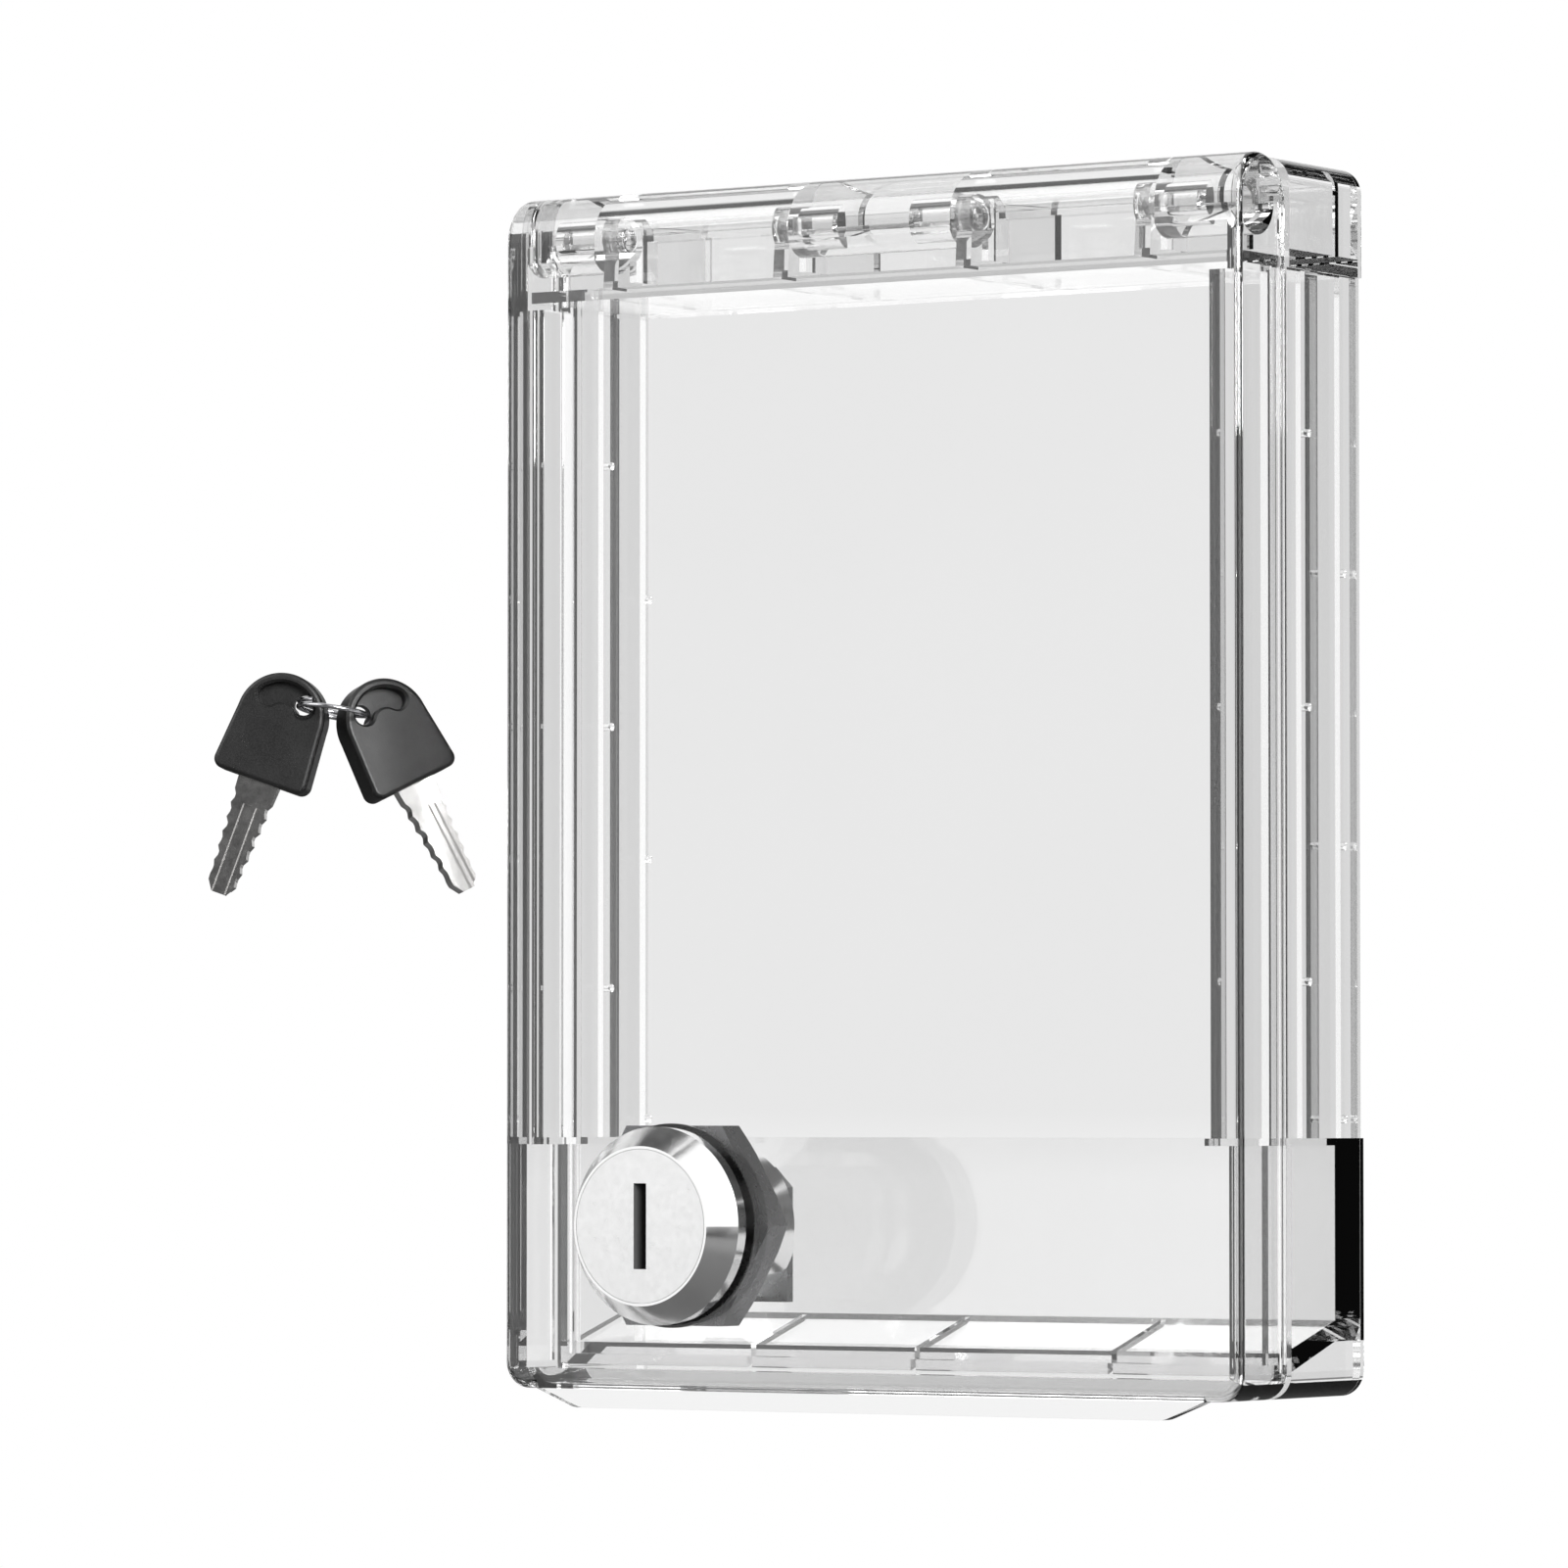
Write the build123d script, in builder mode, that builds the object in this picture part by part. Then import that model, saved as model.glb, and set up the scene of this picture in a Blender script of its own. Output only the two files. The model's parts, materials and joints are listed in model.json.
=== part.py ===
from build123d import *
import os
from math import cos, radians, sin

# Lockable splashproof cover for a wall switch, in millimetres.
# X runs to the right, Y into the wall and Z up. The origin is the middle of the wall face.

# Driving dimensions of the cover
WIDTH = 98.0
HEIGHT = 137.0
DEPTH = 27.0
WALL = 2.3
TAPE = 0.8
PARTING_GAP = 0.35
CORNER = 3.0
EDGE = 1.0
OVERCUT = 1.0

HALF_W = WIDTH / 2
HALF_H = HEIGHT / 2
INNER_W = HALF_W - WALL
INNER_H = HALF_H - WALL

# The rounded top of the lid turns about its own centre
HOOD_R = 5.3
HOOD_BORE = HOOD_R - WALL
AXIS_Y = -DEPTH + HOOD_R
AXIS_Z = HALF_H - HOOD_R
LID_FRONT = -DEPTH
LID_INSIDE = LID_FRONT + WALL
LID_BACK = LID_FRONT + 2 * HOOD_R
BASE_FRONT = LID_BACK + PARTING_GAP
BASE_BACK = -TAPE

# Hinge: four ears on the base, a boss at each end of the lid and a barrel in the middle
EAR_AT = (-35.5, -12.2, 12.2, 35.5)
EAR_T = 2.0
EAR_R = 2.7
EAR_GAP = 0.35
EAR_NECK = (-2.0, 1.3)
EAR_FOOT_FRONT = -2.6
SLOT_REACH = 9.0
SLOT_START = -12.0
SLOT_END = 58.0
BOSS_R = 3.85
BOSS_END = 37.4
BARREL_R = 3.4
BARREL_HALF = 10.8
PIN_R = 1.5
PIN_FIT = 0.05
PIN_L = 8.0
PIN_END = 0.25

# Chambers of the base, measured up from the middle
SHELF_LOW = 56.2
SHELF_TOP = 58.4
SHELF_LIP_TOP = 57.5
SHELF_LIP_FRONT = LID_INSIDE + 0.35
STEP = -39.8
STEP_T = 0.8
PLATE_FRONT = -4.8
PLATE_LOW = -60.0
UNDER_FLOOR = PLATE_LOW - 5.0
ROOF_PLATE_T = 1.3
FLOOR_FRONT_Z = -63.7
FLOOR_T = 2.3
FLOOR_SLITS = (-21.2, 0.9, 26.8)
SLIT_W = 0.7
SLIT_BACK = PLATE_FRONT - 0.6
WAIST = 0.35
LINER_T = 1.6
LINERS = ((BASE_FRONT, -11.6), (-7.9, -3.0))
LEDGE_W = 2.5
STUD_R = 0.45
STUD_PITCH = 30.4
STUD_MID = 7.9
STUD_ROWS = ((-9.75, 0.0), (-1.9, -0.5))
TONGUE = 2.2
TONGUE_T = 1.2
TONGUE_GAP = 0.3

# Lid liners and the pull tab under the lid
LID_LINER_T = 2.3
LID_LINER_BACK = -19.2
LID_LINER_TOP = 55.4
LID_LEDGE_W = 3.1
TAB_DROP = 2.1
TAB_ROOT = 44.3
TAB_TIP = 39.1
TAB_T = 1.7
TAB_CORNER = 3.0
GROOVE_Y = -18.1
GROOVE_W = 0.6
GROOVE_D = 0.35

# Cam lock, on an axis parallel to Y
LOCK_X = -26.8
LOCK_Z = -49.8
HEAD_R = 11.25
FACE_R = 9.05
FACE_RIM = 0.35
FLANGE = 1.6
HEAD_RISE = 3.2
BARREL_LOCK_R = 9.3
BARREL_FLAT = 8.2
HOLE_GAP = 0.15
NUT_AF = 22.7
NUT_T = 4.3
NUT_EDGE = 60.0
NUT_WASHER_T = 0.7
NUT_WASHER_R = 11.6
LOCK_BACK = -13.2
FACE_Y = LID_FRONT - FLANGE - HEAD_RISE
NUT_FRONT = LID_INSIDE + NUT_WASHER_T
PLUG_R = 6.3
PLUG_FLANGE_T = 1.2
RUN = 0.05
KEYHOLE = (1.7, 9.7)
KEYHOLE_DEPTH = 2.6
KEYWAY = (1.9, 6.2)
KEYWAY_END = -17.2
TAIL = 6.0
STOP_T = 0.6
LUG_T = 0.5
LUG_GAP = 0.3
STOP_R = 7.0
STOP_TAB_R = 8.6
STOP_TAB_HALF = 11.0
STOP_SLACK = 3.0
CAM_FRONT = LOCK_BACK + STOP_T
CAM_T = 1.2
CAM_BACK = CAM_FRONT + CAM_T
CAM_W = 15.8
CAM_TOP = 6.6
CAM_SHOULDER = 8.8
CAM_CORNER = 2.3
CAM_NOSE = (-5.2, 1.4)
CAM_NOSE_CORNER = 0.8
CAM_REACH = 11.2
SPRING_WASHER_T = 0.5
SPRING_WASHER_R = 4.1
SPRING_WASHER_CUT = 0.7
SCREW_R = 1.9
SCREW_HEAD_R = 3.4
SCREW_HEAD_T = 1.7
SCREW_LENGTH = 4.0
SCREW_HEAD_EDGE = 0.9
SCREW_SLOT = (3.6, 0.8)
SCREW_SLOT_DEPTH = 1.0
WAFER_COUNT = 4
WAFER_T = 0.8
WAFER_SLOT = 1.0
WAFER_PITCH = 2.0
WAFER_FIRST = -28.4
WAFER_W = 7.6
WAFER_SPRING_R = 0.6
WAFER_SPRING_L = 2.4

# The catch on the left wall that the cam turns behind
CATCH_GAP = 0.3
CATCH_BACK = CAM_FRONT - CATCH_GAP
CATCH_T = 1.6
CATCH_END = LOCK_X - BARREL_LOCK_R - 2 * CATCH_GAP
CATCH_HALF = 3.5

# Keys and their ring, hanging free to the left of the cover
BOW_W = 10.6
BOW_SPLAY = 0.65
BOW_H = 13.2
BOW_T = 3.8
BOW_CORNER = 1.2
BOW_EDGE = 0.55
BLADE_W = 5.0
BLADE_NARROW = 3.2
BLADE_TIP_W = 1.6
BLADE_T = 1.5
BLADE_L = 13.9
BLADE_POINT = 1.2
TANG_W = 3.8
TANG_L = 5.6
CUTS = (0.15, 0.3, 0.2, 0.35, 0.25, 0.3)
CUT_PITCH = 1.75
CUT_HALF = 0.85
CUT_FIRST = 0.9
FLUTE_D = 0.35
FLUTES = ((-0.2, 1.2), (1.0, 0.4))
FLUTE_CLEAR = 3.0
HOLE_R = 3.0
HOLE_W = 2.4
HOLE_SPAN = 50.0
HOLE_EDGE = 0.3
WEB_T = 1.0
RING_MIDDLE = (-77.4, -21.7, 10.15)
RING_R = 4.1
RING_WIRE = 0.28
RING_PITCH = 0.62
RING_TURNS = 1.5
RING_FACING = 41.5
RING_SLOPE = 10.0
RING_TIP = 3.0
KEY_APART = 6.6
KEY_TURN = 16.5
KEYS = {
    "left": {"side": -1, "lean": 19.6, "tip": 4.0, "hangs_at": 50.0},
    "right": {"side": 1, "lean": -25.3, "tip": 10.0, "hangs_at": 135.0},
}

os.makedirs("parts", exist_ok=True)


def save(part, name):
    part.label = name
    export_step(part, f"parts/{name}.step")


def axis_plane(y):
    """Plane across the lock's axis at depth y, its normal towards the viewer."""
    return Plane(origin=(LOCK_X, y, LOCK_Z), x_dir=(1, 0, 0), z_dir=(0, -1, 0))


def hinge_plane(x):
    """Plane across the hinge axis at x, its normal to the right."""
    return Plane(origin=(x, AXIS_Y, AXIS_Z), x_dir=(0, 1, 0), z_dir=(1, 0, 0))


def polar(radius, degrees):
    return (radius * cos(radians(degrees)), radius * sin(radians(degrees)))


# Base frame: the outer walls are wider at the top and bottom than at the waist
with BuildPart() as base_frame:
    with BuildSketch(Plane.XZ.offset(-BASE_BACK)):
        Rectangle(WIDTH, HEIGHT)
    extrude(amount=BASE_BACK - BASE_FRONT)
    fillet(base_frame.edges().filter_by(Axis.Y), CORNER)

    # The three chambers, open to the front
    with BuildSketch(Plane.XZ.offset(-PLATE_FRONT)):
        with Locations((0, (SHELF_TOP + INNER_H) / 2)):
            Rectangle(2 * INNER_W, INNER_H - SHELF_TOP)
        with Locations((0, (UNDER_FLOOR + STEP) / 2)):
            Rectangle(2 * INNER_W, STEP - UNDER_FLOOR)
    extrude(amount=PLATE_FRONT - BASE_FRONT, mode=Mode.SUBTRACT)
    with BuildSketch(Plane.XZ.offset(-BASE_BACK)):
        with Locations((0, (STEP + SHELF_LOW) / 2)):
            Rectangle(2 * INNER_W, SHELF_LOW - STEP)
    extrude(amount=BASE_BACK - BASE_FRONT, mode=Mode.SUBTRACT)

    # Behind the hinge chamber's thin rear plate the frame is hollow
    with BuildSketch(Plane.XZ.offset(-BASE_BACK)):
        with Locations((0, (SHELF_TOP + INNER_H) / 2)):
            Rectangle(2 * INNER_W, INNER_H - SHELF_TOP)
    extrude(amount=BASE_BACK - PLATE_FRONT - ROOF_PLATE_T, mode=Mode.SUBTRACT)

    # The space under the sloping floor is open to the wall
    with BuildSketch(Plane.YZ.offset(-INNER_W)):
        with BuildLine():
            Polyline(
                (BASE_FRONT - OVERCUT, FLOOR_FRONT_Z),
                (PLATE_FRONT, PLATE_LOW),
                (PLATE_FRONT, UNDER_FLOOR),
                (BASE_FRONT - OVERCUT, UNDER_FLOOR),
                close=True,
            )
        make_face()
    extrude(amount=2 * INNER_W)
    with BuildSketch(Plane.YZ.offset(-INNER_W)):
        with BuildLine():
            Polyline(
                (BASE_FRONT, -INNER_H),
                (BASE_FRONT, FLOOR_FRONT_Z - FLOOR_T),
                (PLATE_FRONT, PLATE_LOW - FLOOR_T),
                (BASE_BACK, PLATE_LOW - FLOOR_T),
                (BASE_BACK, -INNER_H),
                close=True,
            )
        make_face()
    extrude(amount=2 * INNER_W, mode=Mode.SUBTRACT)
    with BuildSketch(Plane.XZ.offset(-BASE_FRONT)):
        Rectangle(WIDTH + 2 * OVERCUT, HEIGHT + 2 * OVERCUT)
    extrude(amount=2 * OVERCUT, mode=Mode.SUBTRACT)

    # Slits part the floor into four tabs, held along the back
    with BuildSketch(Plane.XZ.offset(-SLIT_BACK)):
        for slit in FLOOR_SLITS:
            with Locations((slit, (UNDER_FLOOR + PLATE_LOW) / 2)):
                Rectangle(SLIT_W, PLATE_LOW - UNDER_FLOOR + 2 * OVERCUT)
    extrude(amount=SLIT_BACK - BASE_FRONT, mode=Mode.SUBTRACT)

    # Waist: the outer side faces are set back between the shelf and the step
    with BuildSketch(Plane.XZ.offset(-BASE_BACK)):
        with Locations((-HALF_W, (STEP + SHELF_LOW) / 2), (HALF_W, (STEP + SHELF_LOW) / 2)):
            Rectangle(2 * WAIST, SHELF_LOW - STEP)
    extrude(amount=BASE_BACK - BASE_FRONT, mode=Mode.SUBTRACT)

    # Shelf lip that reaches forward under the hinge
    with BuildSketch(Plane.YZ.offset(-INNER_W + TONGUE_GAP)):
        with BuildLine():
            Polyline(
                (BASE_FRONT, SHELF_LOW),
                (SHELF_LIP_FRONT, SHELF_LOW),
                (SHELF_LIP_FRONT, SHELF_LIP_TOP),
                (BASE_FRONT, SHELF_LIP_TOP),
                close=True,
            )
        make_face()
    extrude(amount=2 * (INNER_W - TONGUE_GAP))

    # Upright liners, ledge and studs on the side walls
    for side in (-1, 1):
        for low, high in LINERS:
            with BuildSketch(Plane.XY.offset(STEP)):
                with Locations((side * (INNER_W - LINER_T / 2), (low + high) / 2)):
                    Rectangle(LINER_T, high - low)
            extrude(amount=SHELF_LOW - STEP)
        with BuildSketch(Plane.XY.offset(STEP)):
            with Locations((side * (INNER_W - LEDGE_W / 2), (BASE_FRONT + PLATE_FRONT) / 2)):
                Rectangle(LEDGE_W, PLATE_FRONT - BASE_FRONT)
        extrude(amount=-STEP_T)
        with BuildSketch(Plane.YZ.offset(side * INNER_W)):
            for row_y, shift in STUD_ROWS:
                for count in (-1, 0, 1):
                    with Locations((row_y, STUD_MID + (count + shift) * STUD_PITCH)):
                        Circle(STUD_R)
        extrude(amount=-side * LINER_T)

    # Tongue that stands inside the lid's skirt on three sides
    with BuildSketch(Plane.XZ.offset(-BASE_FRONT)):
        with Locations((0, (SHELF_LOW - INNER_H + TONGUE_GAP) / 2)):
            Rectangle(2 * (INNER_W - TONGUE_GAP), SHELF_LOW + INNER_H - TONGUE_GAP)
        with Locations((0, (SHELF_LOW - INNER_H + TONGUE_GAP + TONGUE_T + OVERCUT) / 2)):
            Rectangle(
                2 * (INNER_W - TONGUE_GAP - TONGUE_T),
                SHELF_LOW + INNER_H - TONGUE_GAP - TONGUE_T + OVERCUT,
                mode=Mode.SUBTRACT,
            )
    extrude(amount=TONGUE)

    # Four hinge ears, each one rib from the rear plate to the hinge axis
    for x in EAR_AT:
        with BuildSketch(hinge_plane(x - EAR_T / 2)):
            with BuildLine():
                Polyline(
                    (PLATE_FRONT - AXIS_Y, SHELF_LOW - AXIS_Z),
                    (PLATE_FRONT - AXIS_Y, INNER_H - AXIS_Z),
                    (BASE_FRONT - AXIS_Y, INNER_H - AXIS_Z),
                    (BASE_FRONT - AXIS_Y, SHELF_TOP - AXIS_Z),
                    (EAR_NECK[1], SHELF_TOP - AXIS_Z),
                    (EAR_NECK[1], 0),
                    (EAR_NECK[0], 0),
                    (EAR_FOOT_FRONT, SHELF_LOW - AXIS_Z),
                    close=True,
                )
            make_face()
            Circle(EAR_R)
        extrude(amount=EAR_T)
    with BuildSketch(hinge_plane(EAR_AT[0] - EAR_T)):
        Circle(PIN_R)
    extrude(amount=EAR_AT[3] - EAR_AT[0] + 2 * EAR_T, mode=Mode.SUBTRACT)

    # Catch on the left wall, behind which the cam turns
    with BuildSketch(Plane.YZ.offset(-INNER_W - WALL / 2)):
        with Locations((CATCH_BACK - CATCH_T / 2, LOCK_Z)):
            Rectangle(CATCH_T, 2 * CATCH_HALF)
    extrude(amount=CATCH_END + INNER_W + WALL / 2)
save(base_frame.part, "base_frame")

# Adhesive tape on the wall side of the frame
with BuildPart() as wall_tape:
    with BuildSketch(Plane.XZ):
        RectangleRounded(WIDTH, HEIGHT, CORNER)
        with Locations((-HALF_W, (STEP + SHELF_LOW) / 2), (HALF_W, (STEP + SHELF_LOW) / 2)):
            Rectangle(2 * WAIST, SHELF_LOW - STEP, mode=Mode.SUBTRACT)
        with Locations((0, (STEP + INNER_H) / 2)):
            Rectangle(2 * INNER_W, INNER_H - STEP, mode=Mode.SUBTRACT)
        with Locations((0, (PLATE_LOW - FLOOR_T - INNER_H) / 2)):
            Rectangle(2 * INNER_W, INNER_H + PLATE_LOW - FLOOR_T, mode=Mode.SUBTRACT)
    extrude(amount=TAPE)
save(wall_tape.part, "wall_tape")

# Lid: one moulding with the front panel, skirts, round top, bosses, liners and tab
with BuildPart() as lid:
    with BuildSketch(Plane.YZ.offset(-HALF_W)):
        with BuildLine():
            Line((LID_BACK, -HALF_H), (LID_BACK, AXIS_Z))
            ThreePointArc((LID_BACK, AXIS_Z), (AXIS_Y, HALF_H), (LID_FRONT, AXIS_Z))
            Line((LID_FRONT, AXIS_Z), (LID_FRONT, -HALF_H))
            Line((LID_FRONT, -HALF_H), (LID_BACK, -HALF_H))
        make_face()
    extrude(amount=WIDTH)
    fillet(lid.edges().filter_by(Axis.Y).group_by(Axis.Z)[0], CORNER)
    front_rim = lid.faces().filter_by(Axis.Y).sort_by(Axis.Y)[0].edges().group_by(Axis.Z)[:-1]
    hood_ends = lid.edges().filter_by(GeomType.CIRCLE).group_by(Axis.Z)[-1]
    fillet([*hood_ends, *front_rim], EDGE)

    with BuildSketch(Plane.YZ.offset(-INNER_W)):
        with BuildLine():
            Line((LID_INSIDE, -INNER_H), (LID_INSIDE, AXIS_Z))
            ThreePointArc((LID_INSIDE, AXIS_Z), (AXIS_Y, AXIS_Z + HOOD_BORE), (AXIS_Y + HOOD_BORE, AXIS_Z))
            Line((AXIS_Y + HOOD_BORE, AXIS_Z), (LID_BACK + OVERCUT, AXIS_Z))
            Line((LID_BACK + OVERCUT, AXIS_Z), (LID_BACK + OVERCUT, -INNER_H))
            Line((LID_BACK + OVERCUT, -INNER_H), (LID_INSIDE, -INNER_H))
        make_face()
    extrude(amount=2 * INNER_W, mode=Mode.SUBTRACT)

    # Bosses at the ends and the barrel in the middle, round the hinge axis
    for start in (-INNER_W - WALL / 2, BOSS_END):
        with BuildSketch(hinge_plane(start)):
            Circle(BOSS_R)
        extrude(amount=INNER_W + WALL / 2 - BOSS_END)
    with BuildSketch(hinge_plane(-BARREL_HALF)):
        Circle(BARREL_R)
    extrude(amount=2 * BARREL_HALF)

    # The round top is slotted at the back where the ears pass
    for x in EAR_AT:
        with BuildSketch(hinge_plane(x - EAR_T / 2 - EAR_GAP)):
            with BuildLine():
                Polyline(
                    (0, 0),
                    polar(SLOT_REACH, SLOT_START),
                    polar(SLOT_REACH / cos(radians(SLOT_END - SLOT_START) / 2), (SLOT_START + SLOT_END) / 2),
                    polar(SLOT_REACH, SLOT_END),
                    close=True,
                )
            make_face()
        extrude(amount=EAR_T + 2 * EAR_GAP, mode=Mode.SUBTRACT)

    # Running bores for the pins
    bore_l = PIN_L - EAR_T + OVERCUT
    for side in (-1, 1):
        for start in (side * (BOSS_END - OVERCUT), side * (BARREL_HALF + OVERCUT - bore_l)):
            with BuildSketch(hinge_plane(start)):
                Circle(PIN_R + PIN_FIT)
            extrude(amount=side * bore_l, mode=Mode.SUBTRACT)

    # Liners and ledge along the side skirts
    for side in (-1, 1):
        with BuildSketch(Plane.XY.offset(STEP)):
            with Locations((side * (INNER_W - LID_LINER_T / 2), (LID_INSIDE + LID_LINER_BACK) / 2)):
                Rectangle(LID_LINER_T, LID_LINER_BACK - LID_INSIDE)
        extrude(amount=LID_LINER_TOP - STEP)
        with BuildSketch(Plane.XY.offset(STEP)):
            with Locations((side * (INNER_W - LID_LEDGE_W / 2), (LID_INSIDE + LID_LINER_BACK) / 2)):
                Rectangle(LID_LEDGE_W, LID_LINER_BACK - LID_INSIDE)
        extrude(amount=-STEP_T)

    # Shallow groove round the skirt near the parting line
    for side in (-1, 1):
        with BuildSketch(Plane.XY.offset(-HALF_H + CORNER)):
            with Locations((side * HALF_W, GROOVE_Y)):
                Rectangle(2 * GROOVE_D, GROOVE_W)
        extrude(amount=HEIGHT - HOOD_R - CORNER, mode=Mode.SUBTRACT)

    # Pull tab
    with BuildSketch(Plane.XZ.offset(-LID_FRONT)) as tab:
        with BuildLine():
            Polyline(
                (-TAB_ROOT, -HALF_H + OVERCUT),
                (-TAB_ROOT, -HALF_H),
                (-TAB_TIP, -HALF_H - TAB_DROP),
                (TAB_TIP, -HALF_H - TAB_DROP),
                (TAB_ROOT, -HALF_H),
                (TAB_ROOT, -HALF_H + OVERCUT),
                close=True,
            )
        make_face()
        fillet(tab.vertices().group_by(Axis.Y)[0], TAB_CORNER)
    extrude(amount=-TAB_T)

    # Hole for the lock, with two flats
    with BuildSketch(axis_plane(LID_INSIDE + OVERCUT)):
        Circle(BARREL_LOCK_R + HOLE_GAP)
        Rectangle(3 * HEAD_R, 2 * (BARREL_FLAT + HOLE_GAP), mode=Mode.INTERSECT)
    extrude(amount=WALL + 2 * OVERCUT, mode=Mode.SUBTRACT)
save(lid.part, "lid")

# Hinge pins: pressed into the ears, running in the bosses and the barrel
pin_spans = (
    (EAR_AT[0] + EAR_T / 2 - PIN_L, PIN_L),
    (EAR_AT[1] - EAR_T / 2, PIN_L),
    (EAR_AT[2] + EAR_T / 2 - PIN_L, PIN_L),
    (EAR_AT[3] - EAR_T / 2, PIN_L),
)
for number, (start, length) in enumerate(pin_spans, 1):
    with BuildPart() as pin:
        with BuildSketch(hinge_plane(start)):
            Circle(PIN_R)
        extrude(amount=length)
        chamfer(pin.edges().filter_by(GeomType.CIRCLE), PIN_END)
    save(pin.part, f"hinge_pin_{number}")

# Lock housing: bevelled head, flange and a threaded barrel with two flats
with BuildPart() as lock_housing:
    with BuildSketch(axis_plane(LID_FRONT)):
        Circle(HEAD_R)
    extrude(amount=FLANGE)
    with BuildSketch(axis_plane(LID_FRONT - FLANGE)):
        Circle(HEAD_R)
    with BuildSketch(axis_plane(LID_FRONT - FLANGE - HEAD_RISE)):
        Circle(FACE_R)
    loft(ruled=True)
    with BuildSketch(axis_plane(LOCK_BACK)):
        Circle(BARREL_LOCK_R)
        Rectangle(3 * HEAD_R, 2 * BARREL_FLAT, mode=Mode.INTERSECT)
    extrude(amount=LOCK_BACK - LID_FRONT)

    # Stop lug on the back: an arc that leaves a quarter turn for the stop washer's tab
    with BuildSketch(axis_plane(LOCK_BACK + LUG_T)):
        Circle(BARREL_LOCK_R)
        Circle(STOP_R + LUG_GAP, mode=Mode.SUBTRACT)
        Rectangle(3 * HEAD_R, 2 * BARREL_FLAT, mode=Mode.INTERSECT)
        with BuildLine():
            Polyline(
                (0, 0),
                polar(2 * HEAD_R, -STOP_TAB_HALF - STOP_SLACK),
                polar(2 * HEAD_R, 45),
                polar(2 * HEAD_R, 90 + STOP_TAB_HALF + STOP_SLACK),
                close=True,
            )
        make_face(mode=Mode.SUBTRACT)
    extrude(amount=LUG_T)

    # Bore for the plug and recess for its face disc
    with BuildSketch(axis_plane(LOCK_BACK + OVERCUT)):
        Circle(PLUG_R + RUN)
    extrude(amount=LOCK_BACK - FACE_Y + 2 * OVERCUT, mode=Mode.SUBTRACT)
    with BuildSketch(axis_plane(FACE_Y + PLUG_FLANGE_T + 2 * RUN)):
        Circle(FACE_R - FACE_RIM + RUN)
    extrude(amount=PLUG_FLANGE_T + OVERCUT, mode=Mode.SUBTRACT)
save(lock_housing.part, "lock_housing")

# Plug: face disc, body with keyway and wafer slots, square tail
with BuildPart() as lock_plug:
    with BuildSketch(axis_plane(FACE_Y + PLUG_FLANGE_T)):
        Circle(FACE_R - FACE_RIM)
    extrude(amount=PLUG_FLANGE_T)
    with BuildSketch(axis_plane(LOCK_BACK)):
        Circle(PLUG_R)
    extrude(amount=LOCK_BACK - FACE_Y - PLUG_FLANGE_T / 2)
    with BuildSketch(axis_plane(CAM_BACK)):
        Rectangle(TAIL, TAIL)
    extrude(amount=STOP_T + CAM_T)
    with BuildSketch(axis_plane(FACE_Y + KEYHOLE_DEPTH)):
        Rectangle(*KEYHOLE)
    extrude(amount=KEYHOLE_DEPTH, mode=Mode.SUBTRACT)
    with BuildSketch(axis_plane(KEYWAY_END)):
        Rectangle(*KEYWAY)
    extrude(amount=KEYWAY_END - FACE_Y - KEYHOLE_DEPTH, mode=Mode.SUBTRACT)
    for count in range(WAFER_COUNT):
        with BuildSketch(axis_plane(WAFER_FIRST + count * WAFER_PITCH + WAFER_SLOT / 2)):
            Rectangle(WAFER_W + 4 * RUN, 2 * (PLUG_R + OVERCUT))
        extrude(amount=WAFER_SLOT, mode=Mode.SUBTRACT)
    with BuildSketch(axis_plane(CAM_BACK)):
        Circle(SCREW_R)
    extrude(amount=SCREW_LENGTH, mode=Mode.SUBTRACT)
save(lock_plug.part, "lock_plug")

# Wafers that block the plug, each with a window for the key and a notch for its spring
for count in range(WAFER_COUNT):
    with BuildPart() as wafer:
        with BuildSketch(axis_plane(WAFER_FIRST + count * WAFER_PITCH + WAFER_T / 2)):
            Circle(PLUG_R - 2 * RUN)
            Rectangle(WAFER_W, 2 * PLUG_R, mode=Mode.INTERSECT)
            Rectangle(KEYWAY[0] + 4 * RUN, KEYWAY[1] + 8 * RUN, mode=Mode.SUBTRACT)
            with Locations((WAFER_W / 2 - WAFER_SPRING_R, 0)):
                Rectangle(2 * (WAFER_SPRING_R + RUN), WAFER_SPRING_L + 2 * RUN, mode=Mode.SUBTRACT)
        extrude(amount=WAFER_T)
    save(wafer.part, f"wafer_{count + 1}")

# Wafer springs, drawn as closed sleeves
with BuildPart() as wafer_springs:
    for count in range(WAFER_COUNT):
        spring_y = WAFER_FIRST + count * WAFER_PITCH
        spring_x = LOCK_X + WAFER_W / 2 - WAFER_SPRING_R
        spring_base = Plane(origin=(spring_x, spring_y, LOCK_Z - WAFER_SPRING_L / 2))
        with BuildSketch(spring_base):
            Circle(WAFER_T / 2)
            Circle(WAFER_T / 4, mode=Mode.SUBTRACT)
        extrude(amount=WAFER_SPRING_L)
save(wafer_springs.part, "wafer_springs")

# Washer and hexagon nut that clamp the lock to the lid
with BuildPart() as lock_washer:
    with BuildSketch(axis_plane(LID_INSIDE + NUT_WASHER_T)):
        Circle(NUT_WASHER_R)
        Circle(BARREL_LOCK_R + RUN, mode=Mode.SUBTRACT)
    extrude(amount=NUT_WASHER_T)
save(lock_washer.part, "lock_washer")

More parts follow.
